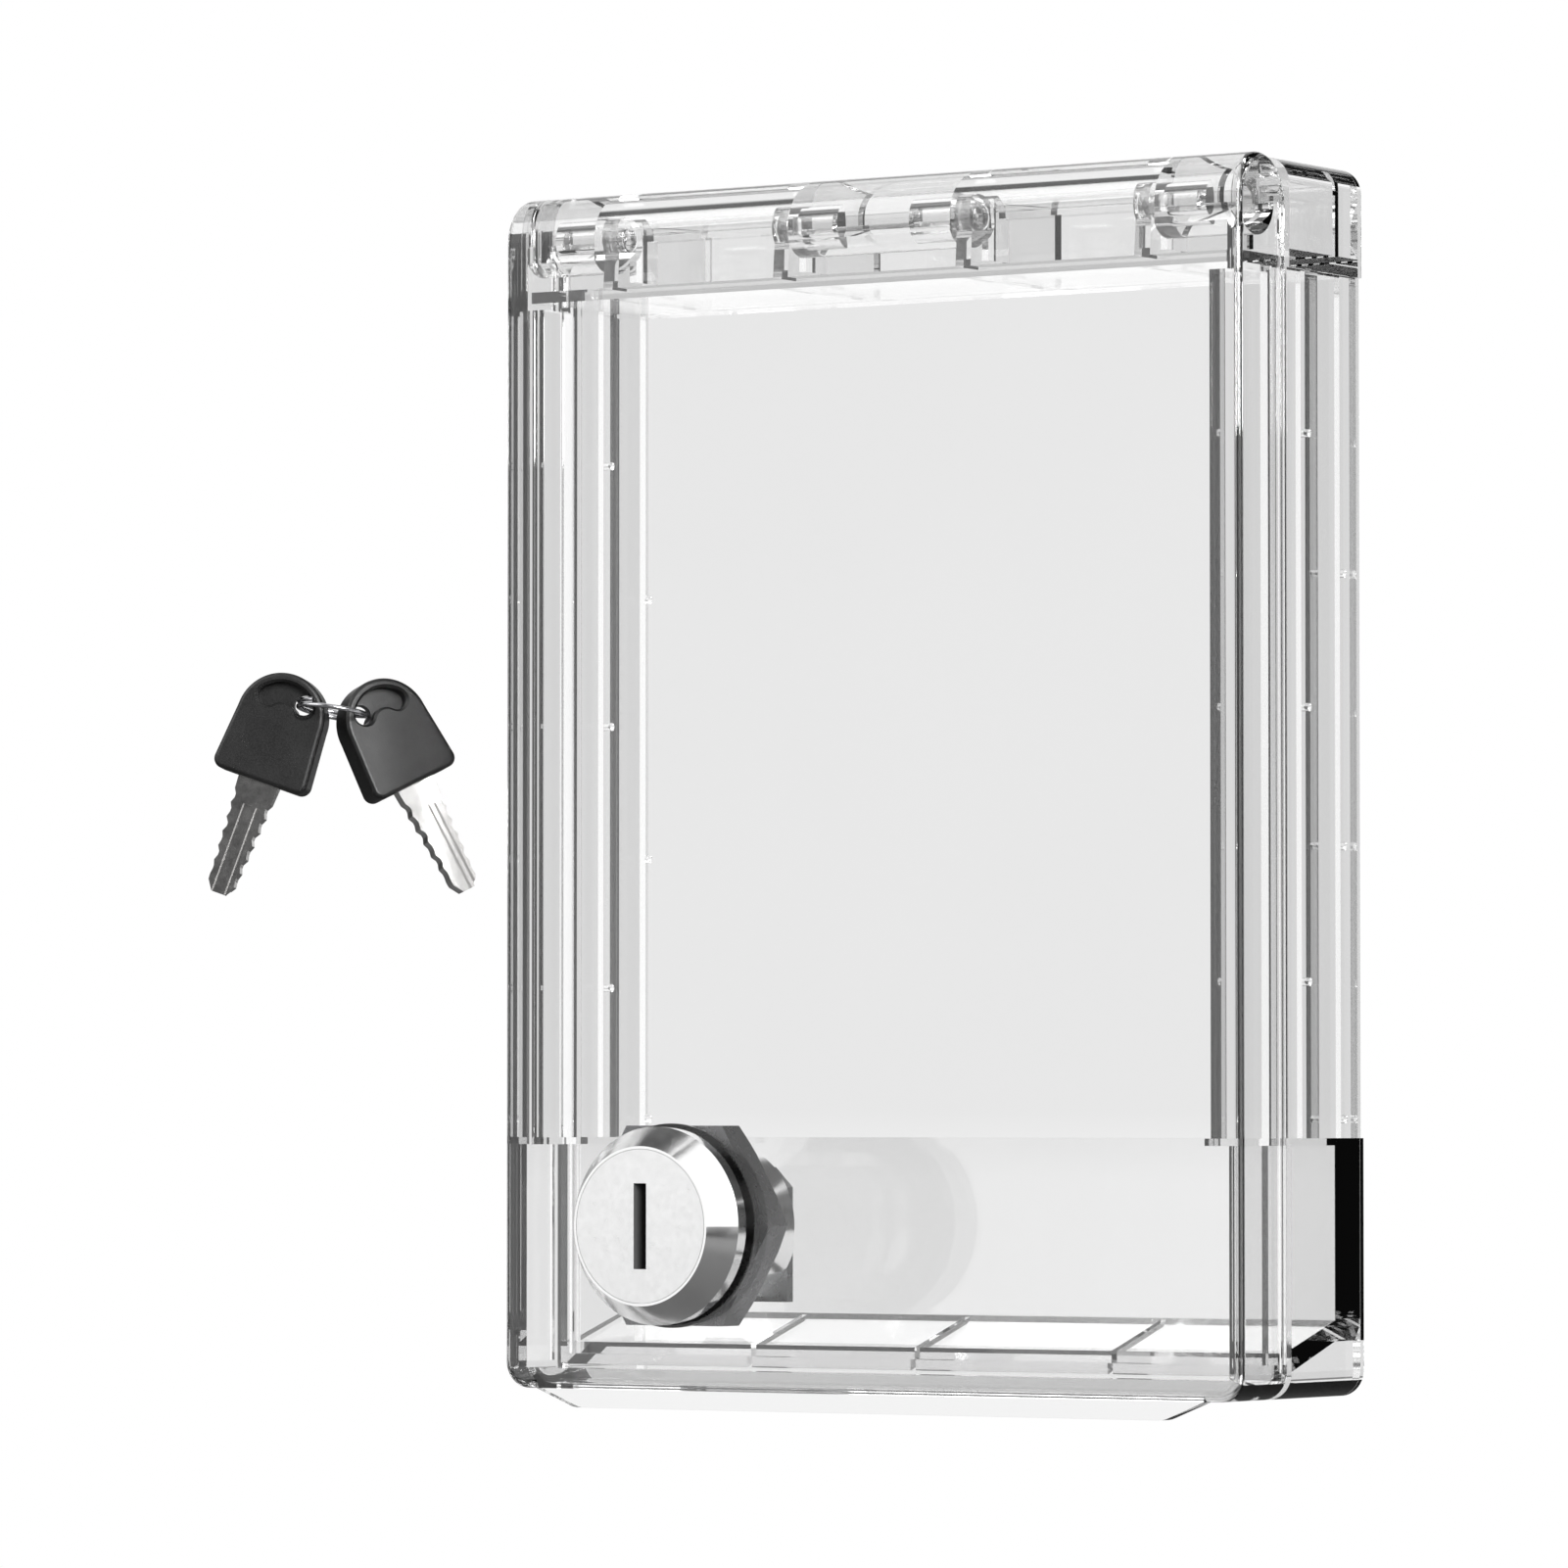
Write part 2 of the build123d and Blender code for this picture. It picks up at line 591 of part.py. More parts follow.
with BuildPart() as lock_nut:
    with BuildSketch(axis_plane(NUT_FRONT + NUT_T)):
        RegularPolygon(NUT_AF / 2, 6, major_radius=False, rotation=0)
    extrude(amount=NUT_T)
    with BuildSketch(axis_plane(NUT_FRONT + NUT_T)):
        Circle(NUT_AF / 2 + FACE_RIM)
    extrude(amount=NUT_T, taper=-NUT_EDGE, mode=Mode.INTERSECT)
    with BuildSketch(axis_plane(NUT_FRONT + NUT_T)):
        Circle(BARREL_LOCK_R + RUN)
    extrude(amount=NUT_T, mode=Mode.SUBTRACT)
save(lock_nut.part, "lock_nut")

# Stop washer: its tab meets the ends of the housing's lug at each end of the quarter turn
with BuildPart() as stop_washer:
    with BuildSketch(axis_plane(LOCK_BACK + STOP_T)):
        Circle(STOP_R)
        with BuildLine():
            Line((0, 0), polar(STOP_TAB_R, 90 - STOP_TAB_HALF))
            ThreePointArc(
                polar(STOP_TAB_R, 90 - STOP_TAB_HALF),
                (0, STOP_TAB_R),
                polar(STOP_TAB_R, 90 + STOP_TAB_HALF),
            )
            Line(polar(STOP_TAB_R, 90 + STOP_TAB_HALF), (0, 0))
        make_face()
        Rectangle(TAIL + RUN, TAIL + RUN, mode=Mode.SUBTRACT)
    extrude(amount=STOP_T - 2 * RUN)
save(stop_washer.part, "stop_washer")

# Cam: a broad plate with a short nose that points down when unlocked and left when locked
with BuildPart() as cam:
    with BuildSketch(axis_plane(CAM_BACK)) as cam_face:
        with Locations((0, (CAM_TOP - CAM_SHOULDER) / 2)):
            Rectangle(CAM_W, CAM_TOP + CAM_SHOULDER)
        chamfer(cam_face.vertices().group_by(Axis.Y)[-1], CAM_CORNER)
        with Locations((sum(CAM_NOSE) / 2, -CAM_REACH / 2)):
            Rectangle(CAM_NOSE[1] - CAM_NOSE[0], CAM_REACH)
        chamfer(cam_face.vertices().group_by(Axis.Y)[0], CAM_NOSE_CORNER)
        Rectangle(TAIL + RUN, TAIL + RUN, mode=Mode.SUBTRACT)
    extrude(amount=CAM_T)
save(cam.part, "cam")

# Spring washer and screw that hold the cam on the tail
with BuildPart() as cam_washer:
    with BuildSketch(axis_plane(CAM_BACK + SPRING_WASHER_T)):
        Circle(SPRING_WASHER_R)
        Circle(SCREW_R + RUN, mode=Mode.SUBTRACT)
        with Locations((0, -SCREW_HEAD_R)):
            Rectangle(SPRING_WASHER_CUT, SCREW_HEAD_R, mode=Mode.SUBTRACT)
    extrude(amount=SPRING_WASHER_T)
save(cam_washer.part, "cam_washer")

with BuildPart() as cam_screw:
    with BuildSketch(axis_plane(CAM_BACK + SPRING_WASHER_T + SCREW_HEAD_T)):
        Circle(SCREW_HEAD_R)
    extrude(amount=SCREW_HEAD_T)
    fillet(cam_screw.edges().filter_by(GeomType.CIRCLE).sort_by(Axis.Y)[-1], SCREW_HEAD_EDGE)
    with BuildSketch(axis_plane(CAM_BACK + SPRING_WASHER_T)):
        Circle(SCREW_R - RUN)
    extrude(amount=SCREW_LENGTH)
    with BuildSketch(axis_plane(CAM_BACK + SPRING_WASHER_T + SCREW_HEAD_T)):
        Rectangle(*SCREW_SLOT)
        Rectangle(*reversed(SCREW_SLOT))
    extrude(amount=SCREW_SLOT_DEPTH, mode=Mode.SUBTRACT)
save(cam_screw.part, "cam_screw")


def bearing(degrees):
    """Level vector to the right, as seen by a viewer who stands at this bearing."""
    return Vector(cos(radians(degrees)), sin(radians(degrees)), 0)


def facing(degrees):
    """Level vector towards a viewer who stands at this bearing."""
    return Vector(sin(radians(degrees)), -cos(radians(degrees)), 0)


UP = Vector(0, 0, 1)
RING_ACROSS = bearing(RING_FACING) * cos(radians(RING_SLOPE)) - UP * sin(radians(RING_SLOPE))


def key_plane(side, lean, tip, hangs_at):
    """Plane of one key: origin at the middle of the bow's round top, y towards its top."""
    turned = RING_FACING + side * KEY_TURN
    rising = UP * cos(radians(tip)) - facing(turned) * sin(radians(tip))
    across = bearing(turned) * cos(radians(lean)) - rising * sin(radians(lean))
    along = bearing(turned) * sin(radians(lean)) + rising * cos(radians(lean))
    pivot = Vector(*RING_MIDDLE) + RING_ACROSS * (side * KEY_APART / 2)
    held_x, held_y = polar(HOLE_R, hangs_at)
    return Plane(origin=pivot - across * held_x - along * held_y, x_dir=across, z_dir=across.cross(along))


BOW_LOW = -(BOW_H - BOW_W / 2)


def make_bow(plane, hangs_at):
    """Moulded bow: round top, curved slot closed by a web but for the ring's hole, pocket for the tang."""
    with BuildPart() as bow:
        with BuildSketch(plane) as outline:
            with BuildLine():
                Line((-BOW_W / 2, 0), (-BOW_W / 2 - BOW_SPLAY, BOW_LOW))
                Line((-BOW_W / 2 - BOW_SPLAY, BOW_LOW), (BOW_W / 2 + BOW_SPLAY, BOW_LOW))
                Line((BOW_W / 2 + BOW_SPLAY, BOW_LOW), (BOW_W / 2, 0))
                ThreePointArc((BOW_W / 2, 0), (0, BOW_W / 2), (-BOW_W / 2, 0))
            make_face()
            fillet(outline.vertices().group_by(Axis.Y)[0], BOW_CORNER)
        extrude(amount=BOW_T / 2, both=True)
        fillet(bow.faces().sort_by(SortBy.AREA)[-2:].edges(), BOW_EDGE)
        for side in (-1, 1):
            with BuildSketch(plane.offset(side * WEB_T / 2)):
                with BuildLine(mode=Mode.PRIVATE):
                    slot_arc = CenterArc((0, 0), HOLE_R, 90 - HOLE_SPAN, 2 * HOLE_SPAN)
                SlotArc(slot_arc, HOLE_W)
            extrude(amount=side * BOW_T, mode=Mode.SUBTRACT)
        for big_face in bow.faces().sort_by(SortBy.AREA)[-2:]:
            chamfer(big_face.inner_wires()[0].edges(), HOLE_EDGE)
        with BuildSketch(plane):
            with Locations(polar(HOLE_R, hangs_at)):
                Circle(HOLE_W / 2)
        extrude(amount=BOW_T, both=True, mode=Mode.SUBTRACT)
        with BuildSketch(plane.offset(-BLADE_T / 2)):
            with Locations((0, BOW_LOW + TANG_L / 2)):
                Rectangle(TANG_W, TANG_L)
        extrude(amount=BLADE_T, mode=Mode.SUBTRACT)
    return bow.part


def make_blade(plane):
    """Tapered key blade with a tang, two flutes along each face and cuts down both edges."""
    tip = BOW_LOW - BLADE_L
    shoulder = tip + BLADE_POINT
    taper = (BLADE_W - BLADE_NARROW) / 2 / (BLADE_L - BLADE_POINT)
    with BuildPart() as blade:
        with BuildSketch(plane.offset(-BLADE_T / 2)):
            with BuildLine():
                Polyline(
                    (-BLADE_W / 2, BOW_LOW),
                    (-BLADE_NARROW / 2, shoulder),
                    (-BLADE_TIP_W / 2, tip),
                    (BLADE_TIP_W / 2, tip),
                    (BLADE_NARROW / 2, shoulder),
                    (BLADE_W / 2, BOW_LOW),
                    close=True,
                )
            make_face()
            with Locations((0, BOW_LOW + TANG_L / 2)):
                Rectangle(TANG_W, TANG_L)
            for count, depth in enumerate(CUTS):
                for edge, shift in ((-1, CUT_PITCH / 3), (1, 0)):
                    along = CUT_FIRST + count * CUT_PITCH + shift
                    half = BLADE_NARROW / 2 + taper * along
                    with BuildLine():
                        Polyline(
                            (edge * (half - taper * CUT_HALF), shoulder + along - CUT_HALF),
                            (edge * (half - depth), shoulder + along - CUT_HALF / 4),
                            (edge * (half - depth), shoulder + along + CUT_HALF / 4),
                            (edge * (half + taper * CUT_HALF), shoulder + along + CUT_HALF),
                            close=True,
                        )
                    make_face(mode=Mode.SUBTRACT)
        extrude(amount=BLADE_T)
        flute_l = BLADE_L - FLUTE_CLEAR + OVERCUT
        for level in (BLADE_T / 2 - FLUTE_D, -BLADE_T / 2):
            with BuildSketch(plane.offset(level)):
                for flute_x, flute_w in FLUTES:
                    with Locations((flute_x, tip - OVERCUT + flute_l / 2)):
                        Rectangle(flute_w, flute_l)
            extrude(amount=FLUTE_D, mode=Mode.SUBTRACT)
    return blade.part


for key_name, hang in KEYS.items():
    save(make_bow(key_plane(**hang), hang["hangs_at"]), f"key_bow_{key_name}")
    save(make_blade(key_plane(**hang)), f"key_blade_{key_name}")

# Split ring through both bows, wound as a short helix
RING_OUT = facing(RING_FACING) * cos(radians(RING_TIP)) + UP * sin(radians(RING_TIP))
RING_CENTRE = Vector(*RING_MIDDLE) + RING_OUT * (RING_R * sin(radians(KEY_TURN)))
ring_plane = Plane(origin=RING_CENTRE, x_dir=RING_OUT, z_dir=RING_ACROSS.cross(RING_OUT))
with BuildPart() as key_ring:
    with BuildLine(ring_plane.offset(-RING_PITCH * RING_TURNS / 2)) as ring_path:
        Helix(RING_PITCH, RING_PITCH * RING_TURNS, RING_R, direction=ring_plane.z_dir)
    with BuildSketch(Plane(origin=ring_path.line @ 0, z_dir=ring_path.line % 0)):
        Circle(RING_WIRE)
    sweep(is_frenet=True)
save(key_ring.part, "key_ring")
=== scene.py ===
"""Scene of a lockable splashproof switch cover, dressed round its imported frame. Lengths are in metres."""

import json
import math

import bpy
from mathutils import Matrix, Vector


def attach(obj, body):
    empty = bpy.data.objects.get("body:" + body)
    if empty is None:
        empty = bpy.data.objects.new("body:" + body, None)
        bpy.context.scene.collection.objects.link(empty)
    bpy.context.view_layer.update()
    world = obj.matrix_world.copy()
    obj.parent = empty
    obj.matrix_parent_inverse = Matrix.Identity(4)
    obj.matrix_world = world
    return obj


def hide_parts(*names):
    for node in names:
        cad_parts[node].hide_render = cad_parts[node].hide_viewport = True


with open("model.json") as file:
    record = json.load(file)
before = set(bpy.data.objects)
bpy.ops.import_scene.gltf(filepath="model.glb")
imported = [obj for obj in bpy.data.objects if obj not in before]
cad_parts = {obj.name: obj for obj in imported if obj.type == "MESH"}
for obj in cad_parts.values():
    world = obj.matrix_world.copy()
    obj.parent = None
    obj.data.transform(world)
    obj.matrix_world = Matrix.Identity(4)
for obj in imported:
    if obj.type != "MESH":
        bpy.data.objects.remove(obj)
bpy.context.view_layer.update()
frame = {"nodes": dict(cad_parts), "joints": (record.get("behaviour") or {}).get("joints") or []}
NODES = frame["nodes"]

# Camera, fitted to the photograph's 1601 x 1601 frame. Angles are in degrees, lens and sensor in millimetres.
CAMERA_AZIMUTH = 33.32
CAMERA_ELEVATION = -2.131
CAMERA_DISTANCE = 1.00607
# Where the camera's axis passes the origin, to the right and up in its own view
LOOK_RIGHT = -0.023568
LOOK_UP = 0.000656
LENS = 201.6
SENSOR = 36.0
NEAR_CLIP = 0.01

# The flats round the studio: level at each bearing in degrees, 0 into the wall and 90 to the right
FLATS = (
    (-180, 0.5), (-164, 1.25), (-130, 1.25), (-125, 0.05), (-54, 0.05), (-48, 0.82), (-14, 0.82), (-10, 0.03),
    (80, 0.03), (84, 1.1), (116, 1.1), (122, 0.06), (132, 0.5), (155, 0.5), (160, 0.06), (180, 0.2),
)
# How the flats' level changes with height, by the direction's Z. The last level goes on to the zenith.
RISE = (
    (-0.05, 0.0), (-0.045, 1.1), (-0.004, 1.1), (-0.002, 1.0),
    (0.14, 1.0), (0.16, 0.3), (0.19, 0.3), (0.21, 1.3),
)
# The low flats, just above the floor's edge, and the heights between which they stand
LOW_FLATS = (
    (-180, 0.4), (-164, 1.1), (-130, 1.1), (-125, 0.1), (-54, 0.1), (-48, 1.15), (-14, 1.15), (-10, 0.05),
    (84, 0.05), (90, 0.25), (118, 0.25), (160, 0.2), (180, 0.2),
)
LOW_RISE = ((-0.15, 0.0), (-0.14, 1.0), (-0.052, 1.0), (-0.045, 0.0))
# A bright arc high on the left, and the heights between which it stands
ARC = ((-180, 0.1), (-168, 1.05), (-16, 1.05), (-6, 0.06), (180, 0.06))
ARC_RISE = ((0.34, 0.0), (0.42, 1.0), (0.68, 1.0), (0.76, 0.12), (1.0, 0.1))
# The world's level for matt surfaces
SOFT_LEVEL = 0.4

# Floor: its height, its side, its tone in the metal and how far that tone drifts
FLOOR_Z = -0.42
FLOOR_SIZE = 7.0
FLOOR_TONE = 0.16
FLOOR_DRIFT = 0.04

# Lamps: place, side of the square and power in watts
KEY_LAMP = ((-0.9, -1.2, 1.2), 0.8, 5.0)
FILL_LAMP = ((1.4, -0.9, 0.6), 0.9, 40.0)

# Light paths, long enough for the walls, liners and pins that stand behind one another
CLEAR_BOUNCES = 16
GLOSSY_BOUNCES = 12

# Clear acrylic: refraction, tint, how far the tint drifts, roughest haze, and absorption per metre of path
CLEAR_IOR = 1.49
CLEAR_TINT = 0.985
CLEAR_DRIFT = 0.015
CLEAR_HAZE = 0.008
CLEAR_DENSITY = 20.0

# The keyhole in the plug's face, and the tone of its inside: painted shade, a dark matt tone in place of the
# slot's shade
KEYHOLE_WIDTH = 0.0017
KEYHOLE_HEIGHT = 0.0097
KEYHOLE_SHADE_TONE = 0.1
# How far the inside reaches past the keyhole's walls, and how far below the face it starts
KEYHOLE_SLACK = 0.00002

# Air between the tape and the frame
TAPE_AIR = 0.00003

WHITE = (1, 1, 1, 1)


def make_camera():
    """Camera that looks from the lower right front, along the photograph's own view."""
    azimuth = math.radians(CAMERA_AZIMUTH)
    elevation = math.radians(CAMERA_ELEVATION)
    back = Vector((
        math.sin(azimuth) * math.cos(elevation),
        -math.cos(azimuth) * math.cos(elevation),
        math.sin(elevation),
    ))
    right = Vector((math.cos(azimuth), math.sin(azimuth), 0))
    up = back.cross(right)
    data = bpy.data.cameras.new("camera")
    data.lens = LENS
    data.sensor_width = SENSOR
    data.clip_start = NEAR_CLIP
    camera = bpy.data.objects.new("camera", data)
    bpy.context.scene.collection.objects.link(camera)
    camera.rotation_mode = "QUATERNION"
    camera.rotation_quaternion = Matrix((right, up, back)).transposed().to_quaternion()
    camera.location = right * LOOK_RIGHT + up * LOOK_UP + back * CAMERA_DISTANCE
    bpy.context.scene.camera = camera


class Tree:
    """Short calls for building a node tree."""

    def __init__(self, owner):
        owner.use_nodes = True
        self.nodes = owner.node_tree.nodes
        self.links = owner.node_tree.links
        self.nodes.clear()

    def add(self, kind, inputs=(), **settings):
        """New node. inputs maps a socket to a value or to another node's output socket."""
        node = self.nodes.new("ShaderNode" + kind)
        for name, value in settings.items():
            setattr(node, name, value)
        for socket, value in dict(inputs).items():
            if isinstance(value, bpy.types.NodeSocket):
                self.links.new(value, node.inputs[socket])
            else:
                node.inputs[socket].default_value = value
        return node

    def noise(self, place, scale, detail=2.0, roughness=0.5):
        """Noise pattern, as a factor from 0 to 1."""
        settings = {"Vector": place, "Scale": scale, "Detail": detail, "Roughness": roughness}
        return self.add("TexNoise", settings).outputs["Fac"]

    def ramp(self, factor, *stops):
        """Colour ramp. Each stop is a position with a grey level or a colour."""
        node = self.add("ValToRGB", {"Fac": factor})
        elements = node.color_ramp.elements
        while len(elements) < len(stops):
            elements.new(0.5)
        for element, (position, value) in zip(elements, stops):
            element.position = position
            element.color = (value, value, value, 1) if isinstance(value, (int, float)) else (*value, 1)
        return node.outputs["Color"]

    def math(self, operation, *values):
        return self.add("Math", dict(enumerate(values)), operation=operation).outputs[0]

    def bump(self, height, strength, distance):
        settings = {"Height": height, "Strength": strength, "Distance": distance}
        return self.add("Bump", settings).outputs["Normal"]

    def mix(self, factor, first, second):
        """Mix of two shaders."""
        return self.add("MixShader", {0: factor, 1: first, 2: second}).outputs[0]


class Surface(Tree):
    """New material with a Principled shader. Its patterns lie in the piece's own coordinates."""

    def __init__(self, name):
        self.material = bpy.data.materials.new(name)
        super().__init__(self.material)
        self.shader = self.add("BsdfPrincipled")
        self.output = self.add("OutputMaterial", {"Surface": self.shader.outputs["BSDF"]})
        self.place = self.add("TexCoord").outputs["Object"]

    def set(self, name, value):
        self.shader.inputs[name].default_value = value

    def feed(self, name, socket):
        self.links.new(socket, self.shader.inputs[name])


def clear_plastic(name):
    """Clear moulded acrylic: faint flow marks in the surface and a slight drift in its tint."""
    look = Surface(name)
    look.set("Transmission Weight", 1.0)
    look.set("IOR", CLEAR_IOR)
    drift = look.noise(look.place, scale=22.0, detail=3.0)
    look.feed("Base Color", look.ramp(drift, (0.3, CLEAR_TINT), (0.7, CLEAR_TINT + CLEAR_DRIFT)))
    haze = look.noise(look.place, scale=900.0, detail=4.0)
    look.feed("Roughness", look.ramp(haze, (0.35, 0.0), (0.8, CLEAR_HAZE)))
    flow = look.noise(look.place, scale=35.0, detail=1.0)
    look.feed("Normal", look.bump(flow, strength=0.002, distance=0.0006))
    body = look.add("VolumeAbsorption", {"Color": (0, 0, 0, 1), "Density": CLEAR_DENSITY})
    look.links.new(body.outputs["Volume"], look.output.inputs["Volume"])
    return look.material


def polished_chrome(name, level):
    """Plated metal whose tone and gloss drift a little, as handling leaves them."""
    look = Surface(name)
    look.set("Metallic", 1.0)
    wear = look.noise(look.place, scale=260.0, detail=5.0, roughness=0.6)
    look.feed("Base Color", look.ramp(wear, (0.3, level), (0.75, level + 0.06)))
    look.feed("Roughness", look.ramp(wear, (0.35, 0.12), (0.8, 0.2)))
    return look.material


def satin_metal(name, colour, rough, grain, worn=0.8, relief=0.12):
    """Ground or plated metal: patches of the worn share of its colour, and a fine grain in its gloss."""
    look = Surface(name)
    look.set("Metallic", 1.0)
    patches = look.noise(look.place, scale=180.0, detail=4.0, roughness=0.6)
    darker = tuple(worn * part for part in colour)
    look.feed("Base Color", look.ramp(patches, (0.3, darker), (0.7, colour)))
    scratches = look.noise(look.place, scale=grain, detail=6.0, roughness=0.7)
    look.feed("Roughness", look.ramp(scratches, (0.3, rough * 0.7), (0.8, rough * 1.4)))
    look.feed("Normal", look.bump(scratches, strength=relief, distance=0.00004))
    return look.material


def plug_metal(name):
    """Fine satin plate on the plug, dark and matt inside the keyhole, where shade is painted in."""
    lock = next(joint for joint in frame["joints"] if joint["name"] == "lock_turn")
    lock_x, _, lock_z = lock["pos_m"]
    face_y = min(vertex.co.y for vertex in NODES["lock_plug"].data.vertices)
    look = Surface(name)
    parts = look.add("SeparateXYZ", {"Vector": look.place}).outputs
    # Mask of the keyhole's inside, where the painted shade goes
    across = look.math("COMPARE", parts["X"], lock_x, KEYHOLE_WIDTH / 2 + KEYHOLE_SLACK)
    along = look.math("COMPARE", parts["Z"], lock_z, KEYHOLE_HEIGHT / 2 + KEYHOLE_SLACK)
    below = look.math("GREATER_THAN", parts["Y"], face_y + KEYHOLE_SLACK)
    keyhole_shade_mask = look.math("MULTIPLY", look.math("MULTIPLY", across, along), below)
    grain = look.noise(look.place, scale=1400.0, detail=4.0)
    plate = look.ramp(grain, (0.3, 0.82), (0.75, 0.86))
    # Painted shade: the keyhole's inside is coloured dark and matt, standing in for the shade that falls in
    # the slot
    painted_shade = (KEYHOLE_SHADE_TONE, KEYHOLE_SHADE_TONE, KEYHOLE_SHADE_TONE, 1)
    look.feed("Base Color", look.add("MixRGB", {0: keyhole_shade_mask, 1: plate, 2: painted_shade}).outputs[0])
    look.feed("Metallic", look.math("SUBTRACT", 1.0, keyhole_shade_mask))
    look.feed("Roughness", look.ramp(grain, (0.3, 0.2), (0.75, 0.28)))
    return look.material


def bow_plastic(name):
    """Black moulded plastic with a fine matt texture."""
    look = Surface(name)
    worn = look.noise(look.place, scale=300.0, detail=4.0)
    look.feed("Base Color", look.ramp(worn, (0.3, 0.006), (0.75, 0.016)))
    pebble = look.noise(look.place, scale=4200.0, detail=3.0, roughness=0.6)
    look.feed("Roughness", look.ramp(pebble, (0.3, 0.34), (0.8, 0.5)))
    look.feed("Normal", look.bump(pebble, strength=0.25, distance=0.00006))
    return look.material


def dress(material, *names):
    """Give the named nodes this material alone."""
    for name in names:
        slots = NODES[name].data.materials
        slots.clear()
        slots.append(material)


def make_tape(material):
    """Clear gel tape on the wall side. A hair of air parts it from the frame, so that both faces show."""
    mesh = NODES["wall_tape"].data.copy()
    front = min(vertex.co.y for vertex in mesh.vertices)
    for vertex in mesh.vertices:
        if vertex.co.y < front + TAPE_AIR:
            vertex.co.y += TAPE_AIR
    mesh.materials.clear()
    mesh.materials.append(material)
    tape = bpy.data.objects.new("tape_ring", mesh)
    bpy.context.scene.collection.objects.link(tape)
    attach(tape, "base")
    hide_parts("wall_tape")


def make_world():
    """White for the camera and soft for matt surfaces. Gloss and glass see the flats and the arc."""
    world = bpy.data.worlds.new("studio")
    bpy.context.scene.world = world
    tree = Tree(world)
    direction = tree.add("TexCoord").outputs["Generated"]
    parts = tree.add("SeparateXYZ", {"Vector": direction}).outputs
    bearing = tree.math("ARCTAN2", parts["X"], parts["Y"])
    round_about = tree.math("MULTIPLY_ADD", bearing, 0.5 / math.pi, 0.5)
    height = tree.math("MULTIPLY_ADD", parts["Z"], 0.5, 0.5)

    def by_bearing(table):
        return tree.ramp(round_about, *((0.5 + degrees / 360, level) for degrees, level in table))

    def by_height(table):
        return tree.ramp(height, *((0.5 + 0.5 * z, level) for z, level in table))

    def background(level):
        return tree.add("Background", {"Color": WHITE, "Strength": level}).outputs[0]

    flats = tree.math("MULTIPLY", by_bearing(FLATS), by_height(RISE))
    low_flats = tree.math("MULTIPLY", by_bearing(LOW_FLATS), by_height(LOW_RISE))
    arc = tree.math("MULTIPLY", by_bearing(ARC), by_height(ARC_RISE))
    studio = tree.math("MAXIMUM", tree.math("MAXIMUM", flats, low_flats), arc)
    rays = tree.add("LightPath").outputs
    mirrored = tree.math("MAXIMUM", rays["Is Glossy Ray"], rays["Is Transmission Ray"])
    light = tree.mix(mirrored, background(SOFT_LEVEL), background(studio))
    shown = tree.mix(rays["Is Camera Ray"], light, background(1.0))
    tree.add("OutputWorld", {"Surface": shown})


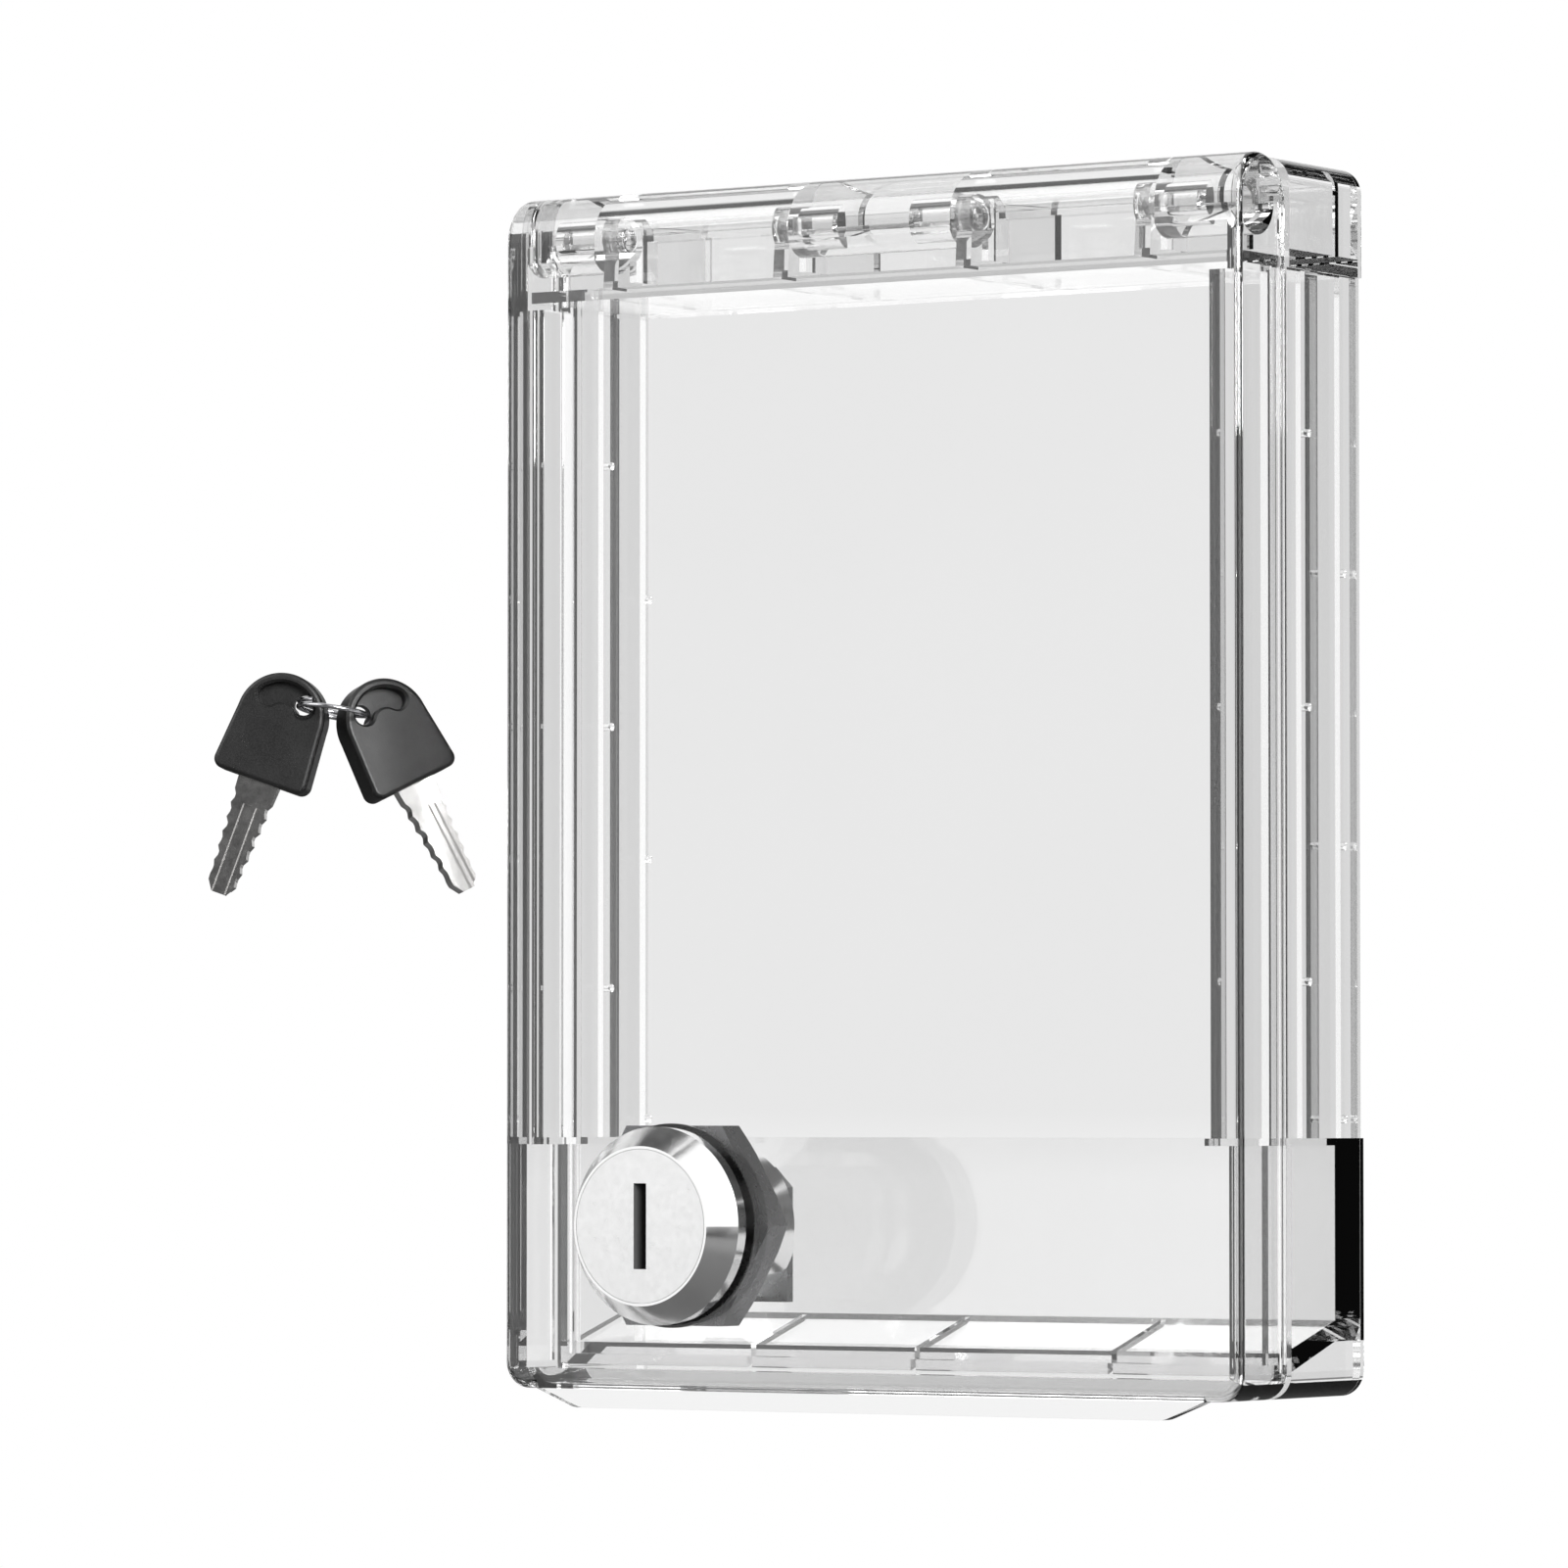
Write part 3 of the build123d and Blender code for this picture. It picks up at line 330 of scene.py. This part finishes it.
def make_floor():
    """Plain floor well below the cover: white to look at, also through the plastic, and dim in the metal."""
    half = FLOOR_SIZE / 2
    mesh = bpy.data.meshes.new("floor")
    corners = [(-half, -half, FLOOR_Z), (half, -half, FLOOR_Z), (half, half, FLOOR_Z), (-half, half, FLOOR_Z)]
    mesh.from_pydata(corners, [], [(0, 1, 2, 3)])
    floor = bpy.data.objects.new("floor", mesh)
    bpy.context.scene.collection.objects.link(floor)
    material = bpy.data.materials.new("floor_paper")
    tree = Tree(material)
    place = tree.add("TexCoord").outputs["Object"]
    paper = tree.ramp(tree.noise(place, scale=3.0), (0.3, FLOOR_TONE), (0.7, FLOOR_TONE + FLOOR_DRIFT))
    matt = tree.add("BsdfDiffuse", {"Color": paper}).outputs[0]
    white = tree.add("Emission", {"Color": WHITE, "Strength": 1.0}).outputs[0]
    rays = tree.add("LightPath").outputs
    looked_at = tree.math("MAXIMUM", rays["Is Camera Ray"], rays["Is Transmission Ray"])
    tree.add("OutputMaterial", {"Surface": tree.mix(looked_at, matt, white)})
    mesh.materials.append(material)


def make_lamp(name, place, side, power):
    """Square lamp that points at the origin."""
    data = bpy.data.lights.new(name, "AREA")
    data.shape = "SQUARE"
    data.size = side
    data.energy = power
    lamp = bpy.data.objects.new(name, data)
    bpy.context.scene.collection.objects.link(lamp)
    lamp.location = place
    lamp.rotation_mode = "QUATERNION"
    lamp.rotation_quaternion = (-Vector(place)).to_track_quat("-Z", "Y")


make_camera()
make_world()
make_floor()
make_lamp("key_light", *KEY_LAMP)
make_lamp("fill_light", *FILL_LAMP)

bpy.context.scene.view_settings.view_transform = "Standard"
bpy.context.scene.cycles.max_bounces = CLEAR_BOUNCES
bpy.context.scene.cycles.transmission_bounces = CLEAR_BOUNCES
bpy.context.scene.cycles.glossy_bounces = GLOSSY_BOUNCES

dress(clear_plastic("clear_lid"), "lid")
dress(clear_plastic("clear_frame"), "base_frame", "hinge_pin_1", "hinge_pin_2", "hinge_pin_3", "hinge_pin_4")
make_tape(clear_plastic("clear_gel"))
dress(polished_chrome("chrome_plate", level=0.78), "lock_housing")
dress(plug_metal("plug_face"), "lock_plug")
nut_steel = satin_metal("nut_steel", (0.11, 0.11, 0.115), rough=0.3, grain=700.0)
dress(nut_steel, "lock_washer", "lock_nut")
zinc_steel = satin_metal("zinc_steel", (0.3, 0.305, 0.31), rough=0.3, grain=700.0)
dress(zinc_steel, "stop_washer", "cam", "cam_washer", "cam_screw", "wafer_springs")
brass = satin_metal("brass", (0.72, 0.55, 0.28), rough=0.3, grain=700.0)
dress(brass, "wafer_1", "wafer_2", "wafer_3", "wafer_4")
dress(bow_plastic("bow_plastic"), "key_bow_left", "key_bow_right")
blade_nickel = satin_metal("blade_nickel", (0.9, 0.89, 0.88), rough=0.17, grain=500.0, worn=0.95, relief=0.008)
dress(blade_nickel, "key_blade_left", "key_blade_right")
ring_wire = satin_metal("ring_wire", (0.6, 0.6, 0.62), rough=0.2, grain=900.0)
dress(ring_wire, "key_ring")
